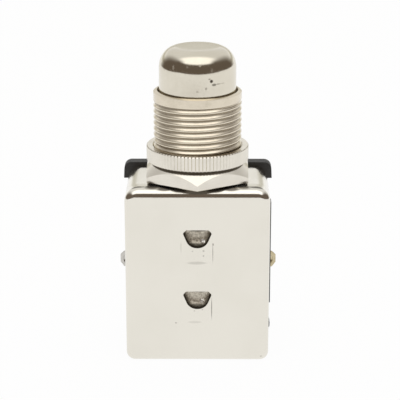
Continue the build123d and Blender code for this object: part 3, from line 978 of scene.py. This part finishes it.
@dataclass
class ThreadedBushing:
    """The drawn cup with its rolled thread, staked in the case's top."""

    crest: float = 5.953  # the thread's outer radius
    root: float = 5.703  # its radius under the nuts
    pitch: float = 0.794
    groove: float = 0.24  # depth of the groove that shows
    land: Pair = (0.2, 0.06)  # shares of a turn on the crest and on the groove's floor
    first_turn: float = 0.31  # how far the thread's start is turned about the axis, in turns
    runout: float = 0.45  # height over which the thread fades at its upper end
    thread_foot: float = -0.28  # where the thread starts, inside the ring nut's mouth
    thread_top: float = 6.35
    thread_step: float = 0.02  # height of the step at the thread's start
    slack: float = 0.01  # how far below its start the thread may be cut
    top: float = 7.45
    rim: Pair = (0.3, 0.2)  # how far the rim's outer edge is cut, across and down
    mouth: Pair = (0.04, 0.05)  # how far the bore's edge is cut, across and down
    bore: float = 5.44
    bore_floor: float = -3.25
    bore_skin: float = 0.12  # how far from the bore the thread is cut at most
    foot: float = -4.85  # height of the case's top
    foot_radius: float = 4.4
    foot_edge: float = 0.3  # height of the chamfer above the foot
    stem_hole: float = 2.05
    neck: float = 3.0
    stake: float = 3.5  # radius of the staked flange
    stake_top: float = -5.35
    stake_bottom: float = -6.05
    rows: int = 24  # for each turn of the thread
    around: int = 180

    def profile(self) -> list[Pair]:
        """The cup's profile before its thread is cut, with points for each row of the thread.

        Returns:
            Radius and height of each point.
        """
        height = self.thread_top - self.thread_foot
        count = int(height / self.pitch * self.rows)
        return [
            (self.stem_hole, self.stake_bottom),
            (self.stake, self.stake_bottom),
            (self.stake, self.stake_top),
            (self.neck, self.stake_top),
            (self.neck, self.foot),
            (self.foot_radius, self.foot),
            (self.root, self.foot + self.foot_edge),
            (self.root, self.thread_foot - self.thread_step),
            *((self.crest, self.thread_foot + height * k / count) for k in range(count + 1)),
            (self.crest, self.top - self.rim[1]),
            (self.crest - self.rim[0], self.top),
            (self.bore + self.mouth[0], self.top),
            (self.bore, self.top - self.mouth[1]),
            (self.bore, self.bore_floor),
            (self.stem_hole, self.bore_floor),
        ]

    def tree(self) -> GrowthTree:
        """Draws the tree that presses a helical groove into the cup's outer wall.

        Returns:
            The tree.
        """
        lengths = {
            "Pitch": self.pitch,
            "Groove": self.groove,
            "Start": self.thread_foot - self.slack,
            "End": self.thread_top,
            "Runout": self.runout,
            "Inside": self.bore + self.bore_skin,
        }
        crest, floor = self.land
        tree = GrowthTree("rolled_thread", lengths, Crest=crest, Floor=floor, Turn=self.first_turn)
        x, y, z = tree.split(tree.add("GeometryNodeInputPosition"))
        flat = tree.combine(x, y)
        turn = tree.math("DIVIDE", tree.math("ARCTAN2", y, x), 2 * math.pi)
        late = tree.math("SUBTRACT", turn, tree["Turn"])
        phase = tree.math("SUBTRACT", tree.math("DIVIDE", z, tree["Pitch"]), late)
        zigzag = tree.math("ABSOLUTE", tree.math("MULTIPLY_ADD", tree.math("FRACT", phase), 2.0, -1.0))
        wave = tree.ease(zigzag, (tree["Crest"], tree.math("SUBTRACT", 1.0, tree["Floor"])), soft=False)
        begun = tree.math("GREATER_THAN", z, tree["Start"])
        fade = tree.ease(z, (tree["End"], tree.math("SUBTRACT", tree["End"], tree["Runout"])), soft=False)
        outer = tree.math("GREATER_THAN", tree.vector("LENGTH", flat), tree["Inside"])
        depth = tree.product(wave, outer, begun, fade, tree["Groove"], -1.0)
        outward = tree.vector("NORMALIZE", flat)
        inward = tree.add("ShaderNodeVectorMath", {0: outward, "Scale": depth}, operation="SCALE")
        tree.close(tree.add("GeometryNodeSetPosition", {0: tree["Geometry"], "Offset": inward}))
        return tree

    def build(self) -> None:
        """Turns the cup, presses its thread and dresses it."""
        draft = Draft()
        draft.lathe(self.profile(), self.around)
        blank = draft.mesh("bushing_blank", [BUSHING_NICKEL], sharp=40.0)
        piece = self.tree().grow("threaded_bushing", BUSHING_NICKEL, sharp=40.0, start=blank)
        fit(piece, Body.HOUSING, Slot.NICKEL_BRASS, "bushing")


@dataclass
class HexNut:
    """The hex nut with a conical top, one corner to the front."""

    half_flats: float = 6.85  # half the width over the flats
    bore: float = 5.723
    top_radius: float = 6.25  # where the cone meets the top
    bottom: float = -4.55
    top: float = -2.2
    corner: float = 0.12
    foot_edge: float = 0.1  # chamfer on the lower outer edge
    mouth: float = 0.25  # chamfer at the bore's upper end
    flats: int = 6
    per_flat: int = 28  # faces on each flat

    def reach(self, turn: float) -> float:
        """The outline's radius in a direction, with slightly cut corners.

        Args:
            turn: The direction's angle in radians.

        Returns:
            The radius.
        """
        half = math.pi / self.flats
        off = (turn + math.pi / 2 + half) % (2 * half) - half
        flat = self.half_flats / math.cos(half - abs(off))
        tip = self.half_flats / math.cos(half) - self.corner * (1 / math.cos(half) - 1)
        return min(flat, tip / math.cos(off))

    def section(self, reach: float) -> list[Pair]:
        """The nut's section in a direction.

        Args:
            reach: The outline's radius there.

        Returns:
            Radius and height of each point.
        """
        return [
            (reach - self.foot_edge, self.bottom),
            (reach, self.bottom + self.foot_edge),
            (reach, self.top - max(reach - self.top_radius, 0.0)),
            (self.top_radius, self.top),
            (self.bore + self.mouth, self.top),
            (self.bore, self.top - self.mouth),
            (self.bore, self.bottom),
        ]

    def build(self) -> None:
        """Joins the nut's sections and dresses it."""
        count = self.flats * self.per_flat
        turns = [2 * math.pi * k / count - math.pi / 2 for k in range(count)]
        draft = Draft()
        draft.spin(turns, [self.section(self.reach(turn)) for turn in turns])
        mesh = draft.mesh("hex_nut_dressed", [NUT_NICKEL], sharp=25.0)
        fit(put(mesh), Body.HOUSING, Slot.NICKEL_BRASS, "hex_nut")


@dataclass
class RingNut:
    """The ring nut with its straight teeth, grown from one tooth."""

    radius: float = 6.94  # over the teeth
    bore: float = 5.723
    bottom: float = -2.2
    top: float = -0.15
    teeth: int = 88
    tooth_depth: float = 0.095
    # How far across and how far sunk the points of a tooth's side lie, as shares
    tooth_side: tuple[Pair, ...] = ((1.0, 1.0), (0.78, 0.5), (0.58, 0.08), (0.45, 0.0))
    edge: float = 0.12  # chamfer on the upper outer edge
    foot_edge: float = 0.1  # chamfer on the lower outer edge
    crease: float = 0.03  # how far from these chamfers the next row lies
    mouth: float = 0.4  # chamfer at the bore's upper end

    def tooth(self) -> Mesh:
        """Makes one tooth with its slice of the ring, from groove to groove.

        Returns:
            The slice's mesh, open where the next slices join it.
        """
        half = math.pi / self.teeth
        shape = [(-across, sunk) for across, sunk in self.tooth_side] + list(reversed(self.tooth_side))
        low = self.bottom + self.foot_edge
        high = self.top - self.edge
        profile = [
            (self.bore, self.bottom),
            (self.radius - self.foot_edge, self.bottom),
            (self.radius, low),
            (self.radius, low + self.crease),
            (self.radius, high - self.crease),
            (self.radius, high),
            (self.radius - self.edge, self.top),
            (self.bore + self.mouth, self.top),
            (self.bore, self.top - self.mouth),
        ]
        turns = [across * half for across, _ in shape]
        limits = [self.radius - self.tooth_depth * sunk for _, sunk in shape]
        sections = [[(min(radius, limit), height) for radius, height in profile] for limit in limits]
        draft = Draft()
        draft.spin(turns, sections, skip=[len(shape) - 1])
        return draft.mesh("ring_nut_tooth", [NUT_NICKEL], sharp=30.0)

    def build(self) -> None:
        """Repeats the tooth round the ring and dresses the nut."""
        tree = GrowthTree("straight_knurl", {}, Teeth=self.teeth)
        step = tree.math("DIVIDE", 2 * math.pi, tree["Teeth"])
        turn = tree.product(tree.add("GeometryNodeInputIndex"), step)
        points = tree.add("GeometryNodePoints", {"Count": tree["Teeth"]})
        tree.close(tree.repeat(points, tree.combine(z=turn)), weld=1e-3)
        piece = tree.grow("ring_nut_dressed", NUT_NICKEL, sharp=32.0, start=self.tooth())
        fit(piece, Body.HOUSING, Slot.NICKEL_BRASS, "knurled_nut")


@dataclass
class PushButton:
    """The flat-topped cap and the return spring under it."""

    radius: float = 5.205
    top: float = 13.33
    bottom: float = 3.65
    wall: float = 0.5  # thickness
    edge: float = 2.45  # how far the upper edge is rounded in
    edge_drop: float = 2.8  # how far that round reaches down
    flat_ring: float = 1.6  # radius of a ring of points on the flat top
    lip: Pair = (0.1, 0.05)  # chamfers of the rim, outside and inside
    around: int = 160
    coil_radius: float = 2.75
    wire: float = 0.6  # diameter
    coil_bottom: float = -3.25
    coil_top: float = 11.63
    coil_turns: float = 7.0
    travel: float = 3.5  # how far the cap goes down

    def cap(self) -> None:
        """Turns the cap and dresses it."""
        flat = self.radius - self.edge
        inside = self.radius - self.wall
        ceiling = self.top - self.wall
        outer_lip, inner_lip = self.lip
        profile = [(0.0, self.top), (self.flat_ring, self.top)]
        for x, z in arc((0.0, 0.0), 1.0, (90, 0), steps=28):
            profile.append((flat + self.edge * x, self.top + self.edge_drop * (z - 1)))
        profile += [(self.radius, self.bottom + outer_lip), (self.radius - outer_lip, self.bottom)]
        profile += [(inside + inner_lip, self.bottom), (inside, self.bottom + inner_lip)]
        for x, z in arc((0.0, 0.0), 1.0, (0, 90), steps=10):
            drop = (self.edge_drop - self.wall) * (1 - z)
            profile.append((flat + (self.edge - self.wall) * x, ceiling - drop))
        profile.append((0.0, ceiling))
        draft = Draft()
        draft.lathe(profile, self.around, closed=False)
        mesh = draft.mesh("button_cap_dressed", [CAP_NICKEL], sharp=35.0)
        fit(weigh_normals(put(mesh)), Body.PLUNGER, Slot.NICKEL_BRASS, "button_cap")

    def spring(self) -> None:
        """Winds the return spring."""
        length = self.coil_top - self.coil_bottom
        lengths = {"Radius": self.coil_radius, "Wire": self.wire, "Length": length, "Seat": self.coil_bottom}
        tree = GrowthTree("wound_spring", lengths, Turns=self.coil_turns)
        half = tree.product(tree["Wire"], 0.5)
        path = {"Resolution": 36, "Rotations": tree["Turns"]}
        path |= {"Start Radius": tree["Radius"], "End Radius": tree["Radius"]}
        path |= {"Height": tree.math("SUBTRACT", tree["Length"], tree["Wire"])}
        spiral = tree.add("GeometryNodeCurveSpiral", path)
        section = tree.add("GeometryNodeCurvePrimitiveCircle", {"Resolution": 12, "Radius": half})
        wire = {"Curve": spiral, "Profile Curve": section, "Fill Caps": True}
        lift = tree.combine(z=tree.math("ADD", half, tree["Seat"]))
        coil = {"Geometry": tree.add("GeometryNodeCurveToMesh", wire), "Translation": lift}
        tree.close(tree.add("GeometryNodeTransform", coil))
        piece = tree.grow("return_spring_wound", SPRING_STEEL, sharp=45.0)
        fit(piece, Body.HOUSING, Slot.SPRING_STEEL, "return_spring")
        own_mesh(piece)

    def build(self) -> None:
        """Builds the cap and the spring."""
        self.cap()
        self.spring()


@dataclass
class TerminalBoard:
    """The black board at the rear with its rivets and solder lugs."""

    edge: float = 0.16  # width of the board's worn edges
    ear_draw: float = 0.989  # how much the ears are drawn in, as a factor of their width
    ear_side: float = 8.9  # how far out the ears start
    ear_foot: float = -7.3  # height of the upper ears' lower edges
    ear_lift: float = 0.55  # how far these edges are worn back
    slack: float = 0.05  # how far a point may lie from such an edge
    lug_edge: float = 0.1  # width of the lugs' rounded edges
    span: float = 12.0  # from rivet to rivet
    level: float = -20.05  # of the rivets
    shank: float = 0.9
    head: float = 1.4
    head_height: float = 0.6
    inner_shares: Pair = (0.75, 0.55)  # where the inner head's chamfer ends, across and in height
    inner_seat: float = 5.0  # depth of the inner head's seat
    outer_seat: float = 8.2  # depth of the outer head's seat
    around: int = 36

    def board(self) -> Piece:
        """Copies the board, draws its ears in and shortens the upper two.

        Returns:
            The board's piece.
        """
        piece = rounded_copy("terminal_board", BLACK_PHENOLIC, self.edge)
        for corner in piece.data.vertices:
            if abs(corner.co.x) > self.ear_side * MM:
                corner.co.x *= self.ear_draw
                if abs(corner.co.z - self.ear_foot * MM) < self.slack * MM:
                    corner.co.z += self.ear_lift * MM
        return piece

    def rivet(self) -> Mesh:
        """Makes one rivet along the Z axis, its outer head domed and its inner head flatter.

        Returns:
            The rivet's mesh.
        """
        across, down = self.inner_shares
        end = self.inner_seat - self.head_height
        profile = [
            (0.0, end),
            (self.head * across, end),
            (self.head, self.inner_seat - self.head_height * down),
            (self.head, self.inner_seat),
            (self.shank, self.inner_seat),
            (self.shank, self.outer_seat),
        ]
        dome = arc((0.0, 0.0), 1.0, (0, 80), steps=8)
        profile += [(self.head * x, self.outer_seat + self.head_height * z) for x, z in dome]
        profile.append((0.0, self.outer_seat + self.head_height))
        draft = Draft()
        draft.lathe(profile, self.around, closed=False)
        return draft.mesh("rivet_blank", [TINNED_BRASS], sharp=40.0)

    def rivets(self) -> None:
        """Sets a rivet at both places."""
        tree = GrowthTree("rivet_row", {"Span": self.span, "Level": self.level}, Count=2)
        start = tree.combine(x=tree.product(tree["Span"], -0.5), z=tree["Level"])
        row = {"Count": tree["Count"], "Start Location": start, "Offset": tree.combine(x=tree["Span"])}
        tree.close(tree.repeat(tree.add("GeometryNodeMeshLine", row), (-math.pi / 2, 0.0, 0.0)))
        piece = tree.grow("lug_rivets", TINNED_BRASS, sharp=40.0, start=self.rivet())
        fit(piece, Body.HOUSING, Slot.TINNED_BRASS, "left_rivet", "right_rivet")

    def build(self) -> None:
        """Dresses the board and the lugs, and sets the rivets."""
        fit(self.board(), Body.HOUSING, Slot.PHENOLIC, "terminal_board")
        lugs = (("left_lug", TINNED_BRASS, Slot.TINNED_BRASS), ("right_lug", ROLLED_BRASS, Slot.BRASS))
        for node, finish, slot in lugs:
            fit(rounded_copy(node, finish, self.lug_edge), Body.HOUSING, slot, node)
        self.rivets()


@dataclass
class ContactWorks:
    """The parts inside, which keep their CAD shapes and get their finishes."""

    finishes: tuple[tuple[Finish, tuple[str, ...]], ...] = (
        (TURNED_STEEL, ("plunger_stem", "bridge_washer")),
        (SPRING_STEEL, ("retaining_clip", "contact_spring")),
        (BLACK_PHENOLIC, ("contact_carrier",)),
        (ROLLED_BRASS, ("contact_bridge", "left_bracket", "right_bracket")),
        (CONTACT_SILVER, ("bridge_contacts", "left_contact", "right_contact")),
    )

    def build(self) -> None:
        """Gives each node its finish."""
        for finish, nodes in self.finishes:
            for node in nodes:
                finish.dress(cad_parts[node].data)
                LOG.info("%s keeps its CAD shape and gets %s", node, finish.name)


@dataclass
class Studio:
    """The pale floor, the room with its white sweep behind, the soft light overhead and the camera."""

    floor_level: float = -29.72
    floor_sides: Pair = (-330.0, 900.0)
    floor_ends: Pair = (-245.0, 1500.0)
    floor_colour: Colour = (0.86, 0.855, 0.84)
    floor_stain: Colour = (0.8, 0.8, 0.79)
    floor_glow: float = 0.96  # how much of the floor is plain white to the camera
    aim: Point = (0.33, 0.0, -8.2)
    distance: float = 203.0
    elevation: float = 17.8  # degrees
    azimuth: float = 0.3  # degrees
    focal: float = 1475.0 / 400.0  # in image widths
    sensor: float = 36.0
    room_colour: Colour = (0.145, 0.115, 0.09)
    # Pairs of the sweep and the box are parts of a direction, between which they fade in or out
    sweep_ends: Pair = (0.58, 0.92)
    sweep_lean: float = 0.9  # how much of the rearward part counts beside the upward part
    sweep_foot: Colour = (1.05, 1.05, 1.03)
    sweep_tones: tuple[tuple[Pair, Colour], ...] = (  # upward parts, and the colour that fades in there
        ((0.03, 0.12), (0.64, 0.62, 0.54)),
        ((0.2, 0.28), (1.04, 1.035, 1.02)),
        ((0.27, 0.37), (0.86, 0.855, 0.84)),
    )
    box_colour: Colour = (1.5, 1.485, 1.455)  # the soft box in the room
    box_ends: Pair = (0.48, 0.76)
    box_low: Pair = (0.56, 0.68)
    box_back: Pair = (0.05, -0.2)
    lamp_place: Point = (-60.0, -160.0, 320.0)
    lamp_size: Pair = (400.0, 300.0)
    lamp_colour: Colour = (1.0, 0.985, 0.96)
    lamp_level: float = 0.6  # how bright its face is

    def floor(self) -> None:
        """Lays the floor, which shows white to the camera and to the metal and keeps the shadow."""
        draft = Draft()
        (left, right), (front, rear) = self.floor_sides, self.floor_ends
        corners = [(left, front), (right, front), (right, rear), (left, rear)]
        draft.faces.append((tuple(draft.ring((x, y, self.floor_level) for x, y in corners)), 0))
        mesh = draft.mesh("pale_floor", [], sharp=30.0)
        if mesh.polygons[0].normal.z < 0:
            mesh.flip_normals()
        material = bpy.data.materials.new("pale_floor")
        material.use_nodes = True
        material.node_tree.nodes.clear()
        sheet = NodeSheet(material.node_tree)
        stains = sheet.noise(sheet.millimetres(), gap=25.0)
        stain = sheet.ease(stains, span=(0.3, 0.7), to=(0.0, 0.15))
        tone = sheet.blend(stain, self.floor_colour, self.floor_stain)
        paper = sheet.add("ShaderNodeBsdfDiffuse", {"Color": tone})
        glow = sheet.add("ShaderNodeEmission", {"Color": (*WHITE, 1.0), "Strength": 1.0})
        path = sheet.node("ShaderNodeLightPath").outputs
        mirrored = sheet.math("MAXIMUM", path["Is Glossy Ray"], path["Is Transmission Ray"])
        share = sheet.math("MAXIMUM", sheet.product(path["Is Camera Ray"], self.floor_glow), mirrored)
        surface = sheet.add("ShaderNodeMixShader", {0: share, 1: paper, 2: glow})
        sheet.node("ShaderNodeOutputMaterial", {"Surface": surface})
        mesh.materials.append(material)
        put(mesh)

    def sky(self) -> None:
        """Draws the room: a white sweep behind, a dim room in front, and white to the camera."""
        world = bpy.data.worlds.new("studio_room")
        bpy.context.scene.world = world
        world.use_nodes = True
        world.node_tree.nodes.clear()
        sheet = NodeSheet(world.node_tree)
        side, depth, height = sheet.split(sheet.add("ShaderNodeTexCoord", output="Generated"))
        across = sheet.math("ABSOLUTE", side)
        reach = sheet.math("MULTIPLY_ADD", depth, self.sweep_lean, height)
        within = sheet.ease(across, self.sweep_ends, to=(1.0, 0.0))
        lit = sheet.product(within, sheet.ease(reach, span=(0.3, 0.75)))
        sweep: Value = self.sweep_foot
        for span, colour in self.sweep_tones:
            sweep = sheet.blend(sheet.ease(height, span), sweep, colour)
        room = sheet.blend(lit, self.room_colour, sweep)
        overhead = sheet.product(sheet.ease(height, self.box_low), sheet.ease(depth, self.box_back))
        box = sheet.product(overhead, sheet.ease(across, self.box_ends, (1.0, 0.0)))
        room = sheet.blend(box, room, self.box_colour)
        tone = sheet.blend(sheet.add("ShaderNodeLightPath", output="Is Camera Ray"), room, WHITE)
        back = sheet.add("ShaderNodeBackground", {"Color": tone, "Strength": 1.0})
        sheet.node("ShaderNodeOutputWorld", {"Surface": back})

    def place(self, name: str, data: bpy.types.ID, where: Vector, toward: Vector) -> Piece:
        """Places the lamp or the camera.

        Args:
            name: The object's name.
            data: Its lamp or camera.
            where: Its place, in millimetres.
            toward: The direction that it looks in.

        Returns:
            The new object.
        """
        stand = bpy.data.objects.new(name, data)
        stand.location = where * MM
        stand.rotation_mode = "QUATERNION"
        stand.rotation_quaternion = toward.to_track_quat("-Z", "Y")
        bpy.context.scene.collection.objects.link(stand)
        return stand

    def lamp(self) -> None:
        """Hangs the soft light over the object."""
        light = bpy.data.lights.new("fill_lamp", "AREA")
        light.shape = "RECTANGLE"
        light.size, light.size_y = (s * MM for s in self.lamp_size)
        light.energy = self.lamp_level * math.pi * light.size * light.size_y
        light.color = self.lamp_colour
        where = Vector(self.lamp_place)
        lamp = self.place("fill_lamp", light, where, -where)
        lamp.visible_camera = False
        lamp.visible_glossy = False

    def camera(self) -> None:
        """Sets the camera at the photograph's angle."""
        lens = bpy.data.cameras.new("viewpoint")
        lens.sensor_width = self.sensor
        lens.lens = self.focal * self.sensor
        lens.clip_start = 5.0 * MM
        lens.clip_end = 20000.0 * MM
        turn, rise = math.radians(self.azimuth), math.radians(self.elevation)
        back = Vector((math.sin(turn) * math.cos(rise), -math.cos(turn) * math.cos(rise), math.sin(rise)))
        where = Vector(self.aim) + back * self.distance
        bpy.context.scene.camera = self.place("viewpoint", lens, where, -back)

    def build(self) -> None:
        """Builds the whole studio."""
        bpy.context.scene.view_settings.view_transform = "Standard"
        self.floor()
        self.sky()
        self.lamp()
        self.camera()


def main() -> None:
    """Builds every piece in order."""
    logging.basicConfig(level=logging.INFO, format="%(name)s: %(message)s")
    for part in (
        DrawnCase, ThreadedBushing, HexNut, RingNut,
        PushButton, TerminalBoard, ContactWorks, Studio,
    ):
        part().build()


if __name__ == "__main__":
    main()
